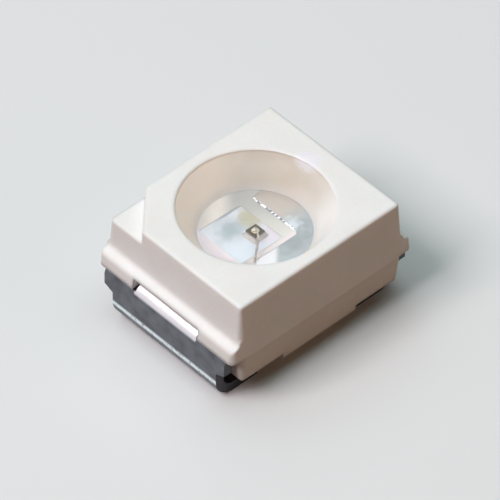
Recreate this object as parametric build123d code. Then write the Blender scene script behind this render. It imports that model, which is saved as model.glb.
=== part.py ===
from build123d import *
import os
from math import atan2, degrees, hypot, radians, tan

# Top view surface mount light emitting diode, two leads, round reflector cup.
# Millimetres. X runs along the leads with the cathode at -X, Z is up,
# and the origin is the middle of the solder plane under the feet.

# Package outside
package_length = 3.50        # over the outer faces of the two leads
package_height = 1.90        # solder plane to top face
body_width = 2.80            # moulded body at the parting line
wall_setback = 0.16          # short walls behind the leads' outer faces, at the parting line
corner_radius = 0.035        # upright corners of the body, at top and bottom
parting_height = 0.92        # where the two mould halves met
upper_draft = 4.0            # degrees, mould release of the upper half
lower_draft = 6.0            # degrees, mould release of the lower half
top_edge_radius = 0.03       # rounding round the top face

# Polarity mark, a step in one corner of the top face
mark_leg = 0.64              # along each side of the top face
mark_depth = 0.22

# Ledges along the two short sides, over the leads, as wide as the body
ledge_setback = 0.01         # behind the outer face of the lead
ledge_face_height = 0.21     # outer face above the parting line
ledge_face_draft = 8.0       # degrees, lean of the outer face
ledge_slope_height = 0.07    # sloped top of the ledge, up to the wall
ledge_edge_radius = 0.08     # between the outer face and the slope
ledge_cove_radius = 0.06     # between the slope and the wall
ledge_corner_radius = 0.08   # upright outer corners, where the cove ends

# Underside of the body
side_clearance = 0.33        # lower edge of the long sides above the solder plane
foot_recess_height = 0.43    # lower edge over the feet
foot_recess_gap = 0.25       # from the tip of a foot to the end of its recess
plinth_clearance = 0.10      # plinth between the feet, above the solder plane
plinth_foot_gap = 0.20       # from the plinth to the tip of each foot
plinth_inset = 0.36          # from the long sides of the body to the plinth
gate_mark_diameter = 0.50
gate_mark_depth = 0.03

# Reflector cup and its clear filling
rim_wall = 0.19              # top face between the rim and the long sides
floor_diameter = 1.68
rim_edge_radius = 0.025
floor_dam_start = 0.62       # from the middle to the raised floor on the cathode side
floor_dam_height = 0.03
resin_drop = 0.03            # edge of the filling below the top face
resin_sag = 0.035            # how far the filling dips from its edge to its middle

# Lead frame strip
lead_thickness = 0.15
lead_level = 0.84            # underside of the strip inside the body
neck_width = 1.25            # strip where it leaves the body
shoulder_width = 2.50        # top of the upright plate
plate_width = 2.16           # upright plate and foot
shoulder_height = 0.27       # straight side of the shoulders
shoulder_taper = 0.07        # height over which the shoulders run in to the plate
shoulder_gap = 0.03          # from the underside of the ledge to the shoulders
knee_radius = 0.05           # inside of the upper bend
foot_radius = 0.21           # inside of the lower bend
foot_length = 0.80           # from the outer face of the lead to the tip
plate_clearance = 0.05       # between the plate and the lower half of the body
neck_clearance = 0.05        # between the neck and its window in the ledge
neck_window_height = 0.11    # window above the strip

# Pads in the floor of the cup
die_pad_end = 0.20           # die pad edge towards the anode
die_pad_back = 0.55          # die pad edge at +Y
die_pad_front = -0.35        # die pad edge at -Y
pad_gap = 0.22               # plastic between the die pad and the anode pad
arm_gap = 0.10               # plastic between the die pad and the anode arm
arm_width = 0.50
arm_tip = -0.66              # free end of the anode arm
pad_root = 1.00              # where both pads run into their necks
pad_corner_radius = 0.05

# Chip, its glue and its wire
chip_side = 0.20
chip_height = 0.14
chip_x = -0.05
chip_y = -0.05
glue_thickness = 0.02        # under the chip
glue_climb = 0.03            # up the sides of the chip
glue_margin = 0.05           # beyond the sides of the chip
glue_lip = 0.01              # thickness of the glue at its upper edge
glue_lip_radius = 0.012
contact_side = 0.11
contact_height = 0.01
contact_chamfer = 0.025
wire_diameter = 0.032
ball_diameter = 0.085
ball_height = 0.03           # after it was pressed on the contact
wire_rise = 0.13             # above the ball
wire_crest_run = 0.22        # level top of the loop
wire_sway = 0.05             # how far the loop leans to one side
wire_bend_radius = 0.07
stitch_x = -0.50
stitch_y = -0.52
stitch_length = 0.10
stitch_width = 0.06
stitch_height = 0.012
stitch_draft = 20.0          # degrees, pressed sides of the stitch

# Levels and reaches that follow from the sizes above
lead_top = lead_level + lead_thickness
lead_reach = package_length / 2
body_length = package_length - 2 * wall_setback
top_rise = package_height - parting_height
top_width = body_width - 2 * top_rise * tan(radians(upper_draft))
rim_diameter = top_width - 2 * rim_wall
ledge_reach = lead_reach - ledge_setback
foot_tip = lead_reach - foot_length
lower_reach = lead_reach - lead_thickness - plate_clearance
shoulder_top = parting_height - shoulder_gap
neck_root = arm_gap - arm_tip
chip_base = lead_top + glue_thickness
chip_top = chip_base + chip_height
ball_base = chip_top + contact_height


def drafted_block(length, width, radius, z_start, z_end, lean):
    """A block whose sides lean in from z_start to z_end, where its corners have the radius."""
    height = abs(z_end - z_start)
    up = 1 if z_end > z_start else -1
    base = Plane(origin=(0, 0, z_start), x_dir=(1, 0, 0), z_dir=(0, 0, up))
    base_radius = radius + height * tan(radians(lean))
    block = extrude(base * RectangleRounded(length, width, base_radius), amount=height)
    sides = block.faces().sort_by(Axis.Z)[1:-1]
    return draft(sides, neutral_plane=base, angle=lean)


def span_box(x_range, y_range, z_range):
    """A box from three pairs of limits."""
    size = [high - low for low, high in (x_range, y_range, z_range)]
    middle = [(high + low) / 2 for low, high in (x_range, y_range, z_range)]
    return Pos(*middle) * Box(*size)


def turned(points):
    """A solid of revolution about Z from radius and height pairs."""
    return revolve(make_face(Polyline(*[(r, 0, z) for r, z in points], close=True)), Axis.Z)


def at_cathode(shape):
    """The same shape at the other end of the package."""
    return Rot(0, 0, 180) * shape


# Reflector cup and filling

def cup_space():
    """The room inside the reflector cup, from its floor to the top face."""
    cone = turned([
        (0, lead_top),
        (floor_diameter / 2, lead_top),
        (rim_diameter / 2, package_height),
        (0, package_height),
    ])
    dam = span_box(
        (-rim_diameter, -floor_dam_start),
        (-rim_diameter, rim_diameter),
        (lead_top, lead_top + floor_dam_height),
    )
    return cone - dam


def filling_space():
    """The cup up to the dished surface of its filling."""
    edge_height = package_height - resin_drop
    wall_slope = (rim_diameter - floor_diameter) / 2 / (package_height - lead_top)
    edge_radius = rim_diameter / 2 - resin_drop * wall_slope
    dish_radius = (edge_radius ** 2 + resin_sag ** 2) / (2 * resin_sag)
    dish = Pos(0, 0, edge_height - resin_sag + dish_radius) * Sphere(dish_radius)
    over_edge = span_box(
        (-rim_diameter, rim_diameter),
        (-rim_diameter, rim_diameter),
        (edge_height, package_height + resin_drop),
    )
    return cup_space() - over_edge - dish


# Leads

def strip_profile():
    """Side view of one lead outside the body, at +X: neck, knee, plate and foot."""
    outer = FilletPolyline(
        (pad_root, 0, lead_top),
        (lead_reach, 0, lead_top),
        (lead_reach, 0, 0),
        (foot_tip, 0, 0),
        radius=[knee_radius + lead_thickness, foot_radius + lead_thickness],
    )
    inner = FilletPolyline(
        (pad_root, 0, lead_level),
        (lead_reach - lead_thickness, 0, lead_level),
        (lead_reach - lead_thickness, 0, lead_thickness),
        (foot_tip, 0, lead_thickness),
        radius=[knee_radius, foot_radius],
    )
    root_end = Line((pad_root, 0, lead_top), (pad_root, 0, lead_level))
    tip_end = Line((foot_tip, 0, 0), (foot_tip, 0, lead_thickness))
    return make_face(outer.edges() + inner.edges() + [root_end, tip_end])


def plate_outline():
    """Front view of one lead: narrow neck, wide shoulders, plate down to the foot."""
    half_neck = neck_width / 2
    half_shoulder = shoulder_width / 2
    half_plate = plate_width / 2
    shoulder_low = shoulder_top - shoulder_height
    right = [
        (half_plate, -lead_thickness),
        (half_plate, shoulder_low - shoulder_taper),
        (half_shoulder, shoulder_low),
        (half_shoulder, shoulder_top),
        (half_neck, shoulder_top),
        (half_neck, lead_top + lead_thickness),
    ]
    left = [(-y, z) for y, z in reversed(right)]
    return make_face(Polyline(*[(0, y, z) for y, z in right + left], close=True))


def outer_lead():
    """The part of a lead outside the body, at +X."""
    strip = extrude(strip_profile(), amount=shoulder_width, dir=(0, 1, 0), both=True)
    window = extrude(plate_outline(), amount=package_length, dir=(1, 0, 0))
    return strip & window


def pad(outline):
    """A flat pad of the lead frame from its plan, with rounded corners."""
    face = make_face(Polyline(*[(x, y) for x, y in outline], close=True))
    face = fillet(face.vertices(), pad_corner_radius)
    return extrude(Pos(0, 0, lead_level) * face, amount=lead_thickness)


def neck_bar():
    """The strip between a pad and the part of the lead outside, at +X, clear of the arm's tip."""
    reach = (neck_root, pad_root + pad_corner_radius)
    return span_box(reach, (-neck_width / 2, neck_width / 2), (lead_level, lead_top))


def cathode_lead():
    """The lead that carries the chip."""
    die_pad = pad([
        (-pad_root, die_pad_front),
        (die_pad_end, die_pad_front),
        (die_pad_end, die_pad_back),
        (-pad_root, die_pad_back),
    ])
    return die_pad + at_cathode(neck_bar()) + at_cathode(outer_lead())


def anode_lead():
    """The lead that the wire is bonded to, with an arm along the near side."""
    pad_edge = die_pad_end + pad_gap
    arm_back = die_pad_front - arm_gap
    arm_front = arm_back - arm_width
    bond_pad = pad([
        (arm_tip, arm_front),
        (pad_root, arm_front),
        (pad_root, die_pad_back),
        (pad_edge, die_pad_back),
        (pad_edge, arm_back),
        (arm_tip, arm_back),
    ])
    return bond_pad + neck_bar() + outer_lead()


# Chip, glue, contact and wire

def led_chip():
    """The light emitting chip."""
    middle = (chip_x, chip_y, chip_base + chip_height / 2)
    return Pos(*middle) * Box(chip_side, chip_side, chip_height)


def die_attach():
    """The glue under the chip, with a fillet up its sides."""
    foot_side = chip_side + 2 * glue_margin
    crown_side = chip_side + 2 * glue_lip
    foot = Pos(chip_x, chip_y, lead_top)
    crown = Pos(chip_x, chip_y, chip_base + glue_climb)
    blob = loft([
        foot * RectangleRounded(foot_side, foot_side, glue_margin),
        crown * RectangleRounded(crown_side, crown_side, glue_lip_radius),
    ])
    return blob - led_chip()


def chip_contact():
    """The metal contact on top of the chip."""
    face = Rectangle(contact_side, contact_side)
    face = chamfer(face.vertices(), contact_chamfer)
    return extrude(Pos(chip_x, chip_y, chip_top) * face, amount=contact_height)


def bond_wire():
    """Ball on the chip, loop, and flattened stitch on the anode arm."""
    run = hypot(stitch_x - chip_x, stitch_y - chip_y)
    heading = degrees(atan2(stitch_y - chip_y, stitch_x - chip_x))
    crest = ball_base + ball_height + wire_rise
    landing = run - stitch_length / 2
    loop = FilletPolyline(
        (0, 0, ball_base + ball_height / 2),
        (0, 0, crest),
        (wire_crest_run, wire_sway, crest),
        (landing, 0, lead_top + wire_diameter / 2),
        (run, 0, lead_top + wire_diameter / 2),
        radius=wire_bend_radius,
    )
    start = Plane(origin=loop @ 0, z_dir=loop % 0)
    wire = sweep(start * Circle(wire_diameter / 2), path=loop)
    pressed = Box(ball_diameter, ball_diameter, ball_height)
    ball = Pos(0, 0, ball_base + ball_height / 2) * (Sphere(ball_diameter / 2) & pressed)
    stitch_face = Plane(origin=(run, 0, lead_top)) * SlotOverall(stitch_length, stitch_width)
    stitch = extrude(stitch_face, amount=stitch_height, taper=stitch_draft)
    piece = wire + ball + stitch
    return Pos(chip_x, chip_y, 0) * Rot(0, 0, heading) * piece


# Housing

def wall_reach(z):
    """How far the short wall of the upper half stands from the middle at a level."""
    return body_length / 2 - (z - parting_height) * tan(radians(upper_draft))


def ledge():
    """The ledge over one lead, at +X, before its window is cut."""
    face_top = parting_height + ledge_face_height
    slope_top = face_top + ledge_slope_height
    cove_top = slope_top + ledge_cove_radius
    face_lean = ledge_face_height * tan(radians(ledge_face_draft))
    front = FilletPolyline(
        (ledge_reach, 0, parting_height),
        (ledge_reach - face_lean, 0, face_top),
        (wall_reach(slope_top), 0, slope_top),
        (wall_reach(cove_top), 0, cove_top),
        radius=[ledge_edge_radius, ledge_cove_radius],
    )
    back = Polyline(
        (wall_reach(cove_top), 0, cove_top),
        (rim_diameter / 2, 0, cove_top),
        (rim_diameter / 2, 0, parting_height),
        (ledge_reach, 0, parting_height),
    )
    outline = make_face(front.edges() + back.edges())
    bar = extrude(outline, amount=body_width, dir=(0, 1, 0), both=True)
    plan = drafted_block(
        2 * ledge_reach, body_width, ledge_corner_radius, parting_height, cove_top, upper_draft)
    return bar & plan


def neck_window():
    """The opening in the ledge where the neck leaves the body and bends down."""
    half = neck_width / 2 + neck_clearance
    return span_box(
        (lower_reach, package_length),
        (-half, half),
        (0, lead_top + neck_window_height),
    )


def polarity_mark():
    """The triangular step cut from the corner at -X, +Y."""
    corner_x = -wall_reach(package_height)
    corner_y = top_width / 2
    triangle = make_face(Polyline(
        (corner_x + mark_leg, corner_y),
        (corner_x + mark_leg, corner_y + mark_leg),
        (corner_x - mark_leg, corner_y + mark_leg),
        (corner_x - mark_leg, corner_y - mark_leg),
        (corner_x, corner_y - mark_leg),
        close=True,
    ))
    return extrude(Pos(0, 0, package_height - mark_depth) * triangle, amount=package_height)


def lower_half():
    """Body under the parting line: drafted sides, foot recesses and plinth."""
    block = drafted_block(
        2 * lower_reach, body_width, corner_radius, parting_height, side_clearance, lower_draft)
    recess_start = foot_tip - foot_recess_gap
    recess = span_box(
        (recess_start, package_length),
        (-body_width, body_width),
        (0, foot_recess_height),
    )
    plinth = drafted_block(
        2 * (foot_tip - plinth_foot_gap),
        body_width - 2 * plinth_inset,
        corner_radius,
        foot_recess_height + lead_thickness,
        plinth_clearance,
        lower_draft,
    )
    gate_mark = Pos(0, 0, plinth_clearance) * Cylinder(gate_mark_diameter / 2, 2 * gate_mark_depth)
    return block - recess - at_cathode(recess) + plinth - gate_mark


def housing(leads):
    """The moulded white body, with the leads and the reflector cup taken out."""
    upper = drafted_block(
        body_length, body_width, corner_radius, parting_height, package_height, upper_draft)
    upper = fillet(upper.faces().sort_by(Axis.Z)[-1].edges(), top_edge_radius)
    upper = upper - polarity_mark()
    body = upper + ledge() + at_cathode(ledge())
    body = body - neck_window() - at_cathode(neck_window())
    body = body + lower_half()
    body = body - cup_space()
    rim = body.edges().filter_by(GeomType.CIRCLE)
    rim = rim.filter_by_position(Axis.Z, package_height, package_height)
    rim = rim.sort_by(SortBy.RADIUS)[-1]
    body = fillet(rim, rim_edge_radius)
    for lead in leads:
        body = body - lead
    return body


def build():
    """Every piece of the package by the name of its node."""
    cathode = cathode_lead()
    anode = anode_lead()
    chip = led_chip()
    glue = die_attach()
    contact = chip_contact()
    wire = bond_wire()
    filling = filling_space()
    for piece in (chip, glue, contact, wire):
        filling = filling - piece
    return {
        "housing": housing([cathode, anode]),
        "cathode_lead": cathode,
        "anode_lead": anode,
        "die_attach": glue,
        "led_chip": chip,
        "chip_contact": contact,
        "bond_wire": wire,
        "encapsulant": filling,
    }


os.makedirs("parts", exist_ok=True)
for node, shape in build().items():
    export_step(shape, f"parts/{node}.step")
    print(node, round(shape.volume, 5), "mm3")
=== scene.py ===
import math
import bpy
from mathutils import Matrix, Vector

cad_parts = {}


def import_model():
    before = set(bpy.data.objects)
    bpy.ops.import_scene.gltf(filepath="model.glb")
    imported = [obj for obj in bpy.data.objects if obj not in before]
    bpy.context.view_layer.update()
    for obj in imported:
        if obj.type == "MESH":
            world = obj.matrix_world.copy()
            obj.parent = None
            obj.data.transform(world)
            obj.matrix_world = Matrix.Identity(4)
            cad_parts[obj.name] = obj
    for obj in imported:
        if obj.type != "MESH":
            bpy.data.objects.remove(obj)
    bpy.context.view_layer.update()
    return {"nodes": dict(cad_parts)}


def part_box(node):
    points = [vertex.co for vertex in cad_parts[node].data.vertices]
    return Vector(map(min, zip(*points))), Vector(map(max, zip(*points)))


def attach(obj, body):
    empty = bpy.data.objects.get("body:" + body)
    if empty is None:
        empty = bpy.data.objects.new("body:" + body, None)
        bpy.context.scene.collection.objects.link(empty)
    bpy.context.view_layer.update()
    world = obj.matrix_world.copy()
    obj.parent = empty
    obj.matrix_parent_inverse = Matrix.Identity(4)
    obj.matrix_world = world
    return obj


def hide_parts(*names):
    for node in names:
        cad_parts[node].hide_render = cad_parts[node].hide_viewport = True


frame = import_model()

# Surface mount light emitting diode: finishes, clear filling, floor, light and camera.
# Metres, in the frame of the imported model: X along the leads, Z up.

mm = 0.001

# Levels and radii read from the frame
filling_low, filling_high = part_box("encapsulant")
chip_low, chip_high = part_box("led_chip")
top_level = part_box("housing")[1].z
pad_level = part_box("cathode_lead")[1].z
edge_radius = (filling_high.x - filling_low.x) / 2
resin_edge_level = filling_high.z

# Sizes of the object that the frame doesn't give
floor_radius = 0.84 * mm
resin_sag = 0.035 * mm
parting_level = 0.92 * mm
rim_reach = 1.15 * mm             # just outside the rim of the cup
neck_half = 0.63 * mm             # half the width of the necks
bend_level = 0.36 * mm            # where the lower bends start
dam_start = -0.62 * mm            # the floor is raised beyond this X
dam_height = 0.03 * mm
die_pad_back = 0.55 * mm
die_pad_front = -0.35 * mm
bond_pad_start = 0.42 * mm        # edge of the bond pad towards the chip
arm_start = -0.45 * mm            # edge of its arm towards the die pad
pads_reach = 1.2 * mm             # both pads lie within this of the middle
# a resin film over the rim here, whose pale lilac colour is a painted highlight of the lamp on
# it
smear_highlight_place = (1.16 * mm, 0.16 * mm, 1.87 * mm)

# Camera of the photograph, an image of 500 by 500 pixels
image_pixels = 500
view_azimuth = math.radians(-43.16)
view_elevation = math.radians(45.68)
view_roll = math.radians(0.52)
view_distance = 102.4 * mm
pixels_per_mm = 70.6
aim_height = 0.95 * mm
aim_pixel = (255.2, 253.2)

# Stage: colours where it is seen, and dim ones where it only lights the object
floor_half = 300 * mm
floor_seen, floor_dim = (0.78, 0.80, 0.82), (0.15, 0.085, 0.055)
world_seen, world_dim = (0.82, 0.83, 0.84), (0.055, 0.038, 0.028)
lamp_distance = 180 * mm


# Node helpers

class Finish:
    """A node material under construction, with its Principled shader."""

    def __init__(self, name):
        self.material = bpy.data.materials.new(name)
        self.material.use_nodes = True
        self.tree = self.material.node_tree
        self.shader = self.tree.nodes["Principled BSDF"]
        self.output = self.tree.nodes["Material Output"]
        self.place = self.node("ShaderNodeTexCoord").outputs["Object"]

    def node(self, kind, **settings):
        made = self.tree.nodes.new(kind)
        for name, value in settings.items():
            setattr(made, name, value)
        return made

    def feed(self, socket, value):
        """Links a socket to another one, or sets its constant."""
        if isinstance(value, bpy.types.NodeSocket):
            self.tree.links.new(value, socket)
        else:
            socket.default_value = value

    def set(self, **values):
        """Sets constants on the Principled shader, by socket name with underscores."""
        for name, value in values.items():
            self.shader.inputs[name.replace("_", " ")].default_value = value

    def link(self, name, value):
        self.tree.links.new(value, self.shader.inputs[name])

    def noise(self, size, detail=3.0, roughness=0.55, stretch=(1, 1, 1)):
        """Noise whose features are about the given size."""
        mapping = self.node("ShaderNodeMapping")
        mapping.inputs["Scale"].default_value = [s / size for s in stretch]
        self.tree.links.new(self.place, mapping.inputs["Vector"])
        texture = self.node("ShaderNodeTexNoise")
        texture.inputs["Scale"].default_value = 1.0
        texture.inputs["Detail"].default_value = detail
        texture.inputs["Roughness"].default_value = roughness
        self.tree.links.new(mapping.outputs["Vector"], texture.inputs["Vector"])
        return texture.outputs["Fac"]

    def math(self, operation, a, b=0.0):
        made = self.node("ShaderNodeMath", operation=operation)
        self.feed(made.inputs[0], a)
        self.feed(made.inputs[1], b)
        return made.outputs[0]

    def times(self, a, b):
        """Multiplies two numbers, each a socket or a constant."""
        return self.math("MULTIPLY", a, b)

    def span(self, value, low, high, out_low=0.0, out_high=1.0):
        """Maps a value from one range to another with soft ends."""
        made = self.node("ShaderNodeMapRange", interpolation_type="SMOOTHSTEP")
        self.feed(made.inputs["Value"], value)
        made.inputs["From Min"].default_value = low
        made.inputs["From Max"].default_value = high
        made.inputs["To Min"].default_value = out_low
        made.inputs["To Max"].default_value = out_high
        return made.outputs["Result"]

    def mix(self, factor, a, b):
        """Mixes two colours, each a socket or a triple."""
        made = self.node("ShaderNodeMix", data_type="RGBA")
        self.feed(made.inputs["Factor"], factor)
        self.feed(made.inputs[6], a if isinstance(a, bpy.types.NodeSocket) else (*a, 1))
        self.feed(made.inputs[7], b if isinstance(b, bpy.types.NodeSocket) else (*b, 1))
        return made.outputs[2]

    def axes(self):
        """X, Y and Z of the place on the object."""
        parts = self.node("ShaderNodeSeparateXYZ")
        self.tree.links.new(self.place, parts.inputs[0])
        return parts.outputs[0], parts.outputs[1], parts.outputs[2]

    def near(self, value, centre, core, reach):
        """One within the core of a value's centre, fading to zero at its reach."""
        away = self.math("ABSOLUTE", self.math("SUBTRACT", value, centre))
        return self.span(away, core, reach, 1.0, 0.0)

    def side(self):
        """How far the surface faces along Y, either way."""
        parts = self.node("ShaderNodeSeparateXYZ")
        self.tree.links.new(self.node("ShaderNodeTexCoord").outputs["Normal"], parts.inputs[0])
        return self.math("ABSOLUTE", parts.outputs[1])

    def distance(self, point):
        """Distance from a point of the object."""
        made = self.node("ShaderNodeVectorMath", operation="DISTANCE")
        self.tree.links.new(self.place, made.inputs[0])
        made.inputs[1].default_value = point
        return made.outputs["Value"]

    def patch(self, point, core, reach):
        """One near a point of the object, fading to zero with an uneven edge."""
        swing = 0.3 * mm
        uneven = self.times(self.noise(0.12 * mm, 3.0), swing)
        away = self.math("ADD", self.distance(point), uneven)
        return self.span(away, core + swing / 2, reach + swing / 2, 1.0, 0.0)

    def bump(self, height, strength, depth, base=None):
        """A normal that follows a height, on top of a base normal."""
        made = self.node("ShaderNodeBump")
        made.inputs["Strength"].default_value = strength
        made.inputs["Distance"].default_value = depth
        self.tree.links.new(height, made.inputs["Height"])
        if base is not None:
            self.tree.links.new(base, made.inputs["Normal"])
        return made.outputs["Normal"]

    def rounded(self, radius):
        """A normal that rounds sharp edges by a radius, a constant or a socket."""
        made = self.node("ShaderNodeBevel", samples=6)
        self.feed(made.inputs["Radius"], radius)
        return made.outputs["Normal"]


# Materials

def white_plastic():
    """Matt white moulding compound, warmer in the cup, where painted light and shade are laid
    into its colour; a resin film over the rim carries a painted highlight.
    """
    finish = Finish("white_plastic")
    x, y, z = finish.axes()
    mottle = finish.span(finish.noise(0.9 * mm, 2.0), 0.35, 0.65)
    grain = finish.span(finish.noise(0.05 * mm, 3.0), 0.3, 0.7)
    outer = finish.mix(mottle, (0.85, 0.85, 0.845), (0.88, 0.885, 0.89))
    outer = finish.mix(finish.times(grain, 0.25), outer, (0.80, 0.785, 0.765))
    radius = finish.math("SQRT", finish.math("ADD", finish.times(x, x), finish.times(y, y)))
    inside = finish.span(z, top_level - 0.004 * mm, top_level - 0.03 * mm)
    inside = finish.times(inside, finish.span(radius, rim_reach + 0.02 * mm, rim_reach))
    above_floor = finish.span(z, pad_level - 0.04 * mm, pad_level - 0.02 * mm)
    inside = finish.times(inside, above_floor)
    body = finish.mix(inside, outer, cup_colour_and_painted_light(finish, x, y, z, mottle))
    # painted highlight: the lamp's reflection on the resin film over the rim, painted pale
    # lilac into the plastic's colour, which is also made glossier there
    smear_highlight = finish.span(finish.distance(smear_highlight_place), 0.26 * mm, 0.10 * mm)
    smear_highlight_colour = finish.mix(inside, (0.87, 0.86, 0.93), (0.66, 0.64, 0.67))
    finish.link("Base Color", finish.mix(smear_highlight, body, smear_highlight_colour))
    dull = finish.span(grain, 0, 1, 0.38, 0.50)
    finish.link("Roughness", finish.math("SUBTRACT", dull, finish.times(smear_highlight, 0.25)))
    finish.set(Subsurface_Weight=0.25, Subsurface_Scale=0.14 * mm, IOR=1.5)
    finish.set(Subsurface_Radius=(1.0, 0.55, 0.38))
    soft = finish.rounded(finish.span(inside, 0, 1, 0.085 * mm, 0.018 * mm))
    skin = finish.bump(finish.noise(0.035 * mm, 4.0), 0.22, 0.006 * mm, soft)
    wave = finish.bump(finish.noise(0.5 * mm, 2.0), 0.3, 0.01 * mm, skin)
    seam = finish.near(z, parting_level, 0.0, 0.012 * mm)
    finish.link("Normal", finish.bump(seam, 0.5, 0.008 * mm, wave))
    return finish.material


def cup_colour_and_painted_light(finish, x, y, z, mottle):
    """Painted light and shade in the cup: cream wall painted lighter on the left, which the
    lamp leaves in shade, and duller where it faces the lamp and at the back, darker where it
    meets the floor; grey floor painted darker at the back, where the lamp falls, and lighter
    and pinkish on the left; pinkish in front.
    """
    across = finish.math("SUBTRACT", x, y)
    along = finish.math("ADD", x, y)
    left = finish.span(across, -0.4 * mm, -0.9 * mm)
    # painted light and shade: the wall is lighter on the left, which the lamp leaves in shade,
    # and darker on the right, which faces it
    wall = finish.span(across, -1.2 * mm, 1.0 * mm)
    wall = finish.mix(wall, (0.83, 0.73, 0.635), (0.55, 0.53, 0.51))
    # painted shade: the back of the wall is darkened to offset the lamp that falls on it
    far = finish.span(along, 0.3 * mm, 1.4 * mm)
    far = finish.times(far, finish.span(across, -1.2 * mm, 0.0))
    wall = finish.mix(far, wall, (0.50, 0.445, 0.385))
    # painted light: the right of the wall, towards the front, is painted lighter again
    right = finish.span(across, 0.8 * mm, 1.3 * mm)
    right = finish.times(right, finish.span(along, 0.8 * mm, 0.0))
    wall = finish.mix(right, wall, (0.725, 0.725, 0.72))
    wall = finish.mix(mottle, wall, finish.mix(0.2, wall, (0.86, 0.84, 0.80)))
    # painted shade: the wall is darker where it meets the floor
    foot_shade = finish.span(z, pad_level + 0.30 * mm, pad_level)
    wall = finish.mix(finish.times(foot_shade, 0.5), wall, (0.54, 0.54, 0.56))
    # painted shade: the floor is darker at the back to offset the lamp that falls on it
    bed = finish.span(along, 0.9 * mm, -0.1 * mm)
    bed = finish.mix(bed, (0.34, 0.34, 0.34), (0.51, 0.515, 0.485))
    # painted light: the floor is lighter and pinkish on the left, which lies in shade
    left_bed = finish.span(along, 0.3 * mm, -0.3 * mm)
    left_bed = finish.mix(left_bed, (0.72, 0.67, 0.64), (0.885, 0.755, 0.84))
    bed = finish.mix(left, bed, left_bed)
    front = finish.span(y, die_pad_front + 0.03 * mm, die_pad_front - 0.07 * mm)
    bed = finish.mix(front, bed, (0.61, 0.545, 0.565))
    # the top of the dam takes the same painted light as the left of the floor
    dam_level = pad_level + dam_height
    dam = finish.span(z, dam_level + 0.006 * mm, dam_level + 0.002 * mm)
    dam = finish.times(dam, finish.span(x, dam_start + 0.02 * mm, dam_start + 0.01 * mm))
    wall = finish.mix(dam, wall, left_bed)
    on_floor = finish.span(z, pad_level + 0.012 * mm, pad_level + 0.004 * mm)
    return finish.mix(on_floor, wall, bed)


def plated_metal(name, pad_colour):
    """Plated strip: pads in the cup as given; outside painted dark as a painted reflection,
    with painted shade on the cut sides and painted highlights along the lower bend and on the
    upper bends of the necks.
    """
    finish = Finish(name)
    x, y, z = finish.axes()
    blotch = finish.span(finish.noise(0.28 * mm, 3.0), 0.3, 0.7)
    rolled = finish.noise(0.05 * mm, 3.0, stretch=(1, 0.15, 1))
    ragged = finish.span(finish.noise(0.07 * mm, 2.0), 0.16, 0.50)
    # painted reflection: the plated metal is bright, but its outside is painted dark as if it
    # mirrored dark surroundings
    plate = finish.mix(blotch, (0.105, 0.105, 0.12), (0.175, 0.18, 0.205))
    # painted highlight along the start of the lower bend, broken by noise
    bend_highlight = finish.times(finish.near(z, bend_level, 0.012 * mm, 0.065 * mm), ragged)
    plate = finish.mix(bend_highlight, plate, (0.88, 0.96, 0.98))
    # painted shade: faces turned along Y, the cut sides, are painted nearly black
    sheared_side_shade = finish.span(finish.side(), 0.6, 0.9)
    plate = finish.mix(sheared_side_shade, plate, (0.06, 0.06, 0.065))
    # painted highlight on the upper bend of each neck
    knee_highlight = finish.span(z, pad_level - 0.16 * mm, pad_level - 0.11 * mm)
    knee_highlight = finish.times(knee_highlight, finish.near(y, 0, neck_half, neck_half + 0.02 * mm))
    plate = finish.mix(knee_highlight, plate, (0.81, 0.77, 0.81))
    in_cup = finish.near(x, 0, pads_reach, pads_reach + 0.1 * mm)
    above_feet = finish.span(z, pad_level - 0.30 * mm, pad_level - 0.20 * mm)
    in_cup = finish.times(in_cup, above_feet)
    finish.link("Base Color", finish.mix(in_cup, plate, pad_colour(finish, x, y, blotch)))
    finish.link("Roughness", finish.span(rolled, 0.3, 0.7, 0.30, 0.40))
    finish.set(Metallic=1.0)
    soft = finish.rounded(0.012 * mm)
    dents = finish.bump(finish.noise(0.25 * mm, 2.0), 0.2, 0.012 * mm, soft)
    finish.link("Normal", finish.bump(rolled, 0.025, 0.004 * mm, dents))
    return finish.material


def die_pad_colour(finish, x, y, blotch):
    """Pale silver, darker in the middle, straw coloured behind the chip, with a pinkish
    painted reflection of the chip beside it and painted shade along its back edge.
    """
    colour = finish.mix(blotch, (0.535, 0.53, 0.57), (0.61, 0.605, 0.655))
    middle = finish.patch((-0.22 * mm, 0.26 * mm, pad_level), 0.05 * mm, 0.34 * mm)
    colour = finish.mix(middle, colour, (0.35, 0.39, 0.425))
    colour = finish.mix(finish.span(y, 0.20 * mm, -0.20 * mm), colour, (0.605, 0.615, 0.68))
    # painted reflection of the chip: a pinkish patch beside it
    beside = finish.patch((0.15 * mm, -0.2 * mm, pad_level), 0.08 * mm, 0.30 * mm)
    colour = finish.mix(beside, colour, (0.64, 0.565, 0.63))
    straw = finish.patch((0.12 * mm, 0.25 * mm, pad_level), 0.06 * mm, 0.28 * mm)
    colour = finish.mix(finish.times(straw, 0.9), colour, (0.43, 0.38, 0.265))
    # painted shade along the back edge of the die pad
    back_edge_shade = finish.near(y, die_pad_back - 0.02 * mm, 0.012 * mm, 0.025 * mm)
    back_edge_shade = finish.times(back_edge_shade, finish.span(x, -0.40 * mm, -0.12 * mm))
    return finish.mix(finish.times(back_edge_shade, 0.7), colour, (0.26, 0.25, 0.30))


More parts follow.
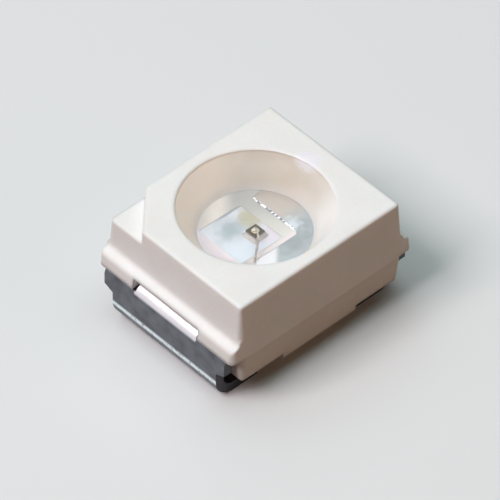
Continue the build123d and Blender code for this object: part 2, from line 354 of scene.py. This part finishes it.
def bond_pad_colour(finish, x, y, blotch):
    """Grey, pale on its arm, with a painted highlight near the edge that faces the chip and
    painted highlights along that edge, broken by dark specks.
    """
    colour = finish.mix(blotch, (0.295, 0.305, 0.325), (0.40, 0.415, 0.44))
    back = finish.span(y, -0.35 * mm, 0.10 * mm)
    colour = finish.mix(back, colour, (0.50, 0.43, 0.40))
    arm = finish.span(finish.math("SUBTRACT", x, y), 0.54 * mm, 0.40 * mm)
    arm = finish.times(arm, finish.span(y, arm_start + 0.05 * mm, arm_start + 0.01 * mm))
    colour = finish.mix(arm, colour, (0.70, 0.66, 0.69))
    glint = finish.patch((0.50 * mm, -0.25 * mm, pad_level), 0.04 * mm, 0.20 * mm)
    colour = finish.mix(glint, colour, (0.58, 0.61, 0.66))
    # painted highlights along the edge that faces the chip, broken by dark specks
    specks = finish.span(finish.noise(0.05 * mm, 2.0), 0.45, 0.53)
    speckled_highlight = finish.mix(specks, (0.20, 0.20, 0.24), (0.95, 0.95, 1.0))
    edge = finish.near(x, bond_pad_start + 0.015 * mm, 0.018 * mm, 0.028 * mm)
    edge = finish.times(edge, finish.span(y, arm_start + 0.03 * mm, arm_start + 0.13 * mm))
    return finish.mix(edge, colour, speckled_highlight)


def silver_glue():
    """Cured adhesive with silver flakes."""
    finish = Finish("silver_epoxy")
    flakes = finish.node("ShaderNodeTexVoronoi")
    flakes.inputs["Scale"].default_value = 1 / (0.012 * mm)
    finish.tree.links.new(finish.place, flakes.inputs["Vector"])
    glint = finish.span(flakes.outputs["Distance"], 0.1, 0.6)
    finish.link("Base Color", finish.mix(glint, (0.74, 0.72, 0.71), (0.54, 0.52, 0.51)))
    finish.link("Roughness", finish.span(glint, 0, 1, 0.35, 0.55))
    finish.set(Metallic=0.6)
    finish.link("Normal", finish.bump(glint, 0.4, 0.003 * mm))
    return finish.material


def semiconductor():
    """Sawn chip: dark brown, its sides wetted grey by the adhesive low down."""
    finish = Finish("semiconductor")
    z = finish.axes()[2]
    saw = finish.noise(0.02 * mm, 3.0, stretch=(1, 1, 0.2))
    side = finish.mix(saw, (0.025, 0.020, 0.012), (0.06, 0.046, 0.024))
    glue = finish.span(z, chip_low.z + 0.13 * mm, chip_low.z + 0.05 * mm)
    side = finish.mix(glue, side, (0.52, 0.46, 0.45))
    top = finish.span(z, chip_high.z - 0.006 * mm, chip_high.z - 0.001 * mm)
    finish.link("Base Color", finish.mix(top, side, (0.045, 0.028, 0.012)))
    finish.link("Roughness", finish.span(saw, 0.3, 0.7, 0.25, 0.45))
    finish.set(Specular_IOR_Level=0.3)
    finish.link("Normal", finish.bump(saw, 0.2, 0.002 * mm))
    return finish.material


def contact_metal():
    """Pale evaporated contact on the chip."""
    finish = Finish("contact_metal")
    grain = finish.noise(0.01 * mm, 2.0)
    finish.link("Base Color", finish.mix(grain, (0.53, 0.43, 0.25), (0.64, 0.53, 0.34)))
    finish.link("Roughness", finish.span(grain, 0.3, 0.7, 0.35, 0.5))
    finish.set(Metallic=0.8)
    return finish.material


def gold():
    """Drawn wire of gold, coloured a warm grey."""
    finish = Finish("gold")
    grain = finish.noise(0.02 * mm, 2.0)
    finish.link("Base Color", finish.mix(grain, (0.50, 0.47, 0.45), (0.68, 0.65, 0.62)))
    finish.link("Roughness", finish.span(grain, 0.3, 0.7, 0.22, 0.34))
    finish.set(Metallic=1.0)
    return finish.material


def clear_resin():
    """Clear casting resin that lets light through to the chip and the pads."""
    finish = Finish("clear_resin")
    ripple = finish.noise(0.6 * mm, 2.0)
    finish.set(Transmission_Weight=1.0, IOR=1.5, Metallic=0.0)
    finish.link("Base Color", finish.mix(ripple, (0.985, 0.98, 0.965), (0.995, 0.99, 0.98)))
    finish.link("Roughness", finish.span(ripple, 0.3, 0.7, 0.015, 0.03))
    finish.link("Normal", finish.bump(ripple, 0.25, 0.01 * mm))
    lamp_ray = finish.node("ShaderNodeLightPath").outputs["Is Shadow Ray"]
    clear = finish.node("ShaderNodeBsdfTransparent")
    clear.inputs["Color"].default_value = (0.76, 0.75, 0.735, 1)
    choice = finish.node("ShaderNodeMixShader")
    links = finish.tree.links
    links.new(lamp_ray, choice.inputs[0])
    links.new(finish.shader.outputs[0], choice.inputs[1])
    links.new(clear.outputs[0], choice.inputs[2])
    links.new(choice.outputs[0], finish.output.inputs["Surface"])
    return finish.material


def finish_nodes():
    """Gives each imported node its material."""
    finishes = {
        "housing": white_plastic(),
        "cathode_lead": plated_metal("plated_lead_frame", die_pad_colour),
        "anode_lead": plated_metal("plated_lead_frame_dull", bond_pad_colour),
        "die_attach": silver_glue(),
        "led_chip": semiconductor(),
        "chip_contact": contact_metal(),
        "bond_wire": gold(),
    }
    for node, material in finishes.items():
        for slot in frame["nodes"][node].material_slots:
            slot.material = material


# Clear filling

def resin_filling():
    """The cast resin as one turned piece, wetting the cup a little past its wall and floor."""
    wetting = 0.004 * mm
    turns = 128
    surface_rings = 14
    profile = [(floor_radius + wetting, pad_level - wetting)]
    profile.append((edge_radius + wetting, resin_edge_level))
    for ring in range(1, surface_rings):
        share = 1 - ring / surface_rings
        dip = resin_sag * (1 - share ** 2)
        profile.append((share * edge_radius, resin_edge_level - dip))
    verts = []
    for radius, height in profile:
        for turn in range(turns):
            angle = 2 * math.pi * turn / turns
            verts.append((radius * math.cos(angle), radius * math.sin(angle), height))
    faces = []
    for ring in range(len(profile) - 1):
        for turn in range(turns):
            a = ring * turns + turn
            b = ring * turns + (turn + 1) % turns
            faces.append((a, b, b + turns, a + turns))
    centre = len(verts)
    verts.append((0, 0, resin_edge_level - resin_sag))
    last = (len(profile) - 1) * turns
    for turn in range(turns):
        faces.append((last + turn, last + (turn + 1) % turns, centre))
    faces.append(tuple(reversed(range(turns))))
    mesh = bpy.data.meshes.new("resin_filling")
    mesh.from_pydata(verts, [], faces)
    mesh.validate()
    for polygon in mesh.polygons[:-1]:
        polygon.use_smooth = True
    piece = bpy.data.objects.new("resin_filling", mesh)
    bpy.context.collection.objects.link(piece)
    mesh.materials.append(clear_resin())
    mesh.set_sharp_from_angle(angle=math.radians(50))
    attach(piece, "root")
    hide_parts("encapsulant")


# Stage

def seen_ray(tree):
    """One for rays from the camera, from gloss and through glass, else zero."""
    path = tree.nodes.new("ShaderNodeLightPath")
    total = path.outputs["Is Camera Ray"]
    for name in ("Is Glossy Ray", "Is Transmission Ray"):
        add = tree.nodes.new("ShaderNodeMath")
        add.operation = "MAXIMUM"
        tree.links.new(total, add.inputs[0])
        tree.links.new(path.outputs[name], add.inputs[1])
        total = add.outputs[0]
    return total


def seen_or_dim(tree, seen, dim):
    """A colour that is pale where it is seen and dimmer where it only lights the object."""
    mix = tree.nodes.new("ShaderNodeMix")
    mix.data_type = "RGBA"
    tree.links.new(seen_ray(tree), mix.inputs["Factor"])
    mix.inputs[6].default_value = (*dim, 1)
    mix.inputs[7].default_value = (*seen, 1)
    return mix.outputs[2]


def floor():
    """A plain pale floor."""
    mesh = bpy.data.meshes.new("floor")
    signs = [(-1, -1), (1, -1), (1, 1), (-1, 1)]
    corners = [(a * floor_half, b * floor_half, 0) for a, b in signs]
    mesh.from_pydata(corners, [], [(0, 1, 2, 3)])
    piece = bpy.data.objects.new("floor", mesh)
    bpy.context.collection.objects.link(piece)
    material = bpy.data.materials.new("floor")
    material.use_nodes = True
    tree = material.node_tree
    shader = tree.nodes["Principled BSDF"]
    shader.inputs["Roughness"].default_value = 0.9
    shader.inputs["Specular IOR Level"].default_value = 0.1
    colour = seen_or_dim(tree, floor_seen, floor_dim)
    tree.links.new(colour, shader.inputs["Base Color"])
    mesh.materials.append(material)


def world():
    """Pale surroundings, dim as a light."""
    made = bpy.data.worlds.new("world")
    made.use_nodes = True
    tree = made.node_tree
    background = tree.nodes["Background"]
    colour = seen_or_dim(tree, world_seen, world_dim)
    tree.links.new(colour, background.inputs["Color"])
    background.inputs["Strength"].default_value = 1.0
    bpy.context.scene.world = made


def soft_light(name, towards, size, level, colour):
    """A square lamp; from far, a level of 1 lights a facing white surface to white."""
    lamp = bpy.data.lights.new(name, "AREA")
    lamp.shape = "SQUARE"
    lamp.size = size
    lamp.color = colour
    lamp.energy = level * math.pi ** 2 * lamp_distance ** 2
    holder = bpy.data.objects.new(name, lamp)
    bpy.context.collection.objects.link(holder)
    direction = Vector(towards).normalized()
    holder.location = Vector((0, 0, aim_height)) + direction * lamp_distance
    holder.rotation_mode = "QUATERNION"
    holder.rotation_quaternion = direction.to_track_quat("Z", "Y")


def lights():
    soft_light("key", (-0.60, 0.12, 0.79), 80 * mm, 0.73, (1.0, 0.90, 0.90))
    soft_light("overhead", (0.0, 0.25, 0.97), 260 * mm, 0.68, (0.805, 1.0, 1.0))
    soft_light("fill", (0.45, -0.85, 0.25), 120 * mm, 0.10, (1.0, 0.56, 0.24))


def camera():
    """The photograph's viewing angle, moved sideways so that the aim lands on its pixel."""
    back = Vector((
        math.sin(view_azimuth) * math.cos(view_elevation),
        -math.cos(view_azimuth) * math.cos(view_elevation),
        math.sin(view_elevation),
    ))
    level_right = Vector((math.cos(view_azimuth), math.sin(view_azimuth), 0))
    level_up = back.cross(level_right)
    right = math.cos(view_roll) * level_right + math.sin(view_roll) * level_up
    up = math.cos(view_roll) * level_up - math.sin(view_roll) * level_right
    aside = (image_pixels / 2 - aim_pixel[0]) / pixels_per_mm * mm
    raised = (aim_pixel[1] - image_pixels / 2) / pixels_per_mm * mm
    data = bpy.data.cameras.new("camera")
    data.sensor_width = 36.0
    data.lens = data.sensor_width * pixels_per_mm * view_distance / mm / image_pixels
    data.clip_start = 5 * mm
    data.clip_end = 1000 * mm
    holder = bpy.data.objects.new("camera", data)
    bpy.context.collection.objects.link(holder)
    spot = Vector((0, 0, aim_height)) + back * view_distance + right * aside + up * raised
    turn = Matrix((right, up, back)).transposed().to_4x4()
    holder.matrix_world = Matrix.Translation(spot) @ turn
    bpy.context.scene.camera = holder


finish_nodes()
resin_filling()
floor()
world()
lights()
camera()
bpy.context.scene.view_settings.view_transform = "Standard"
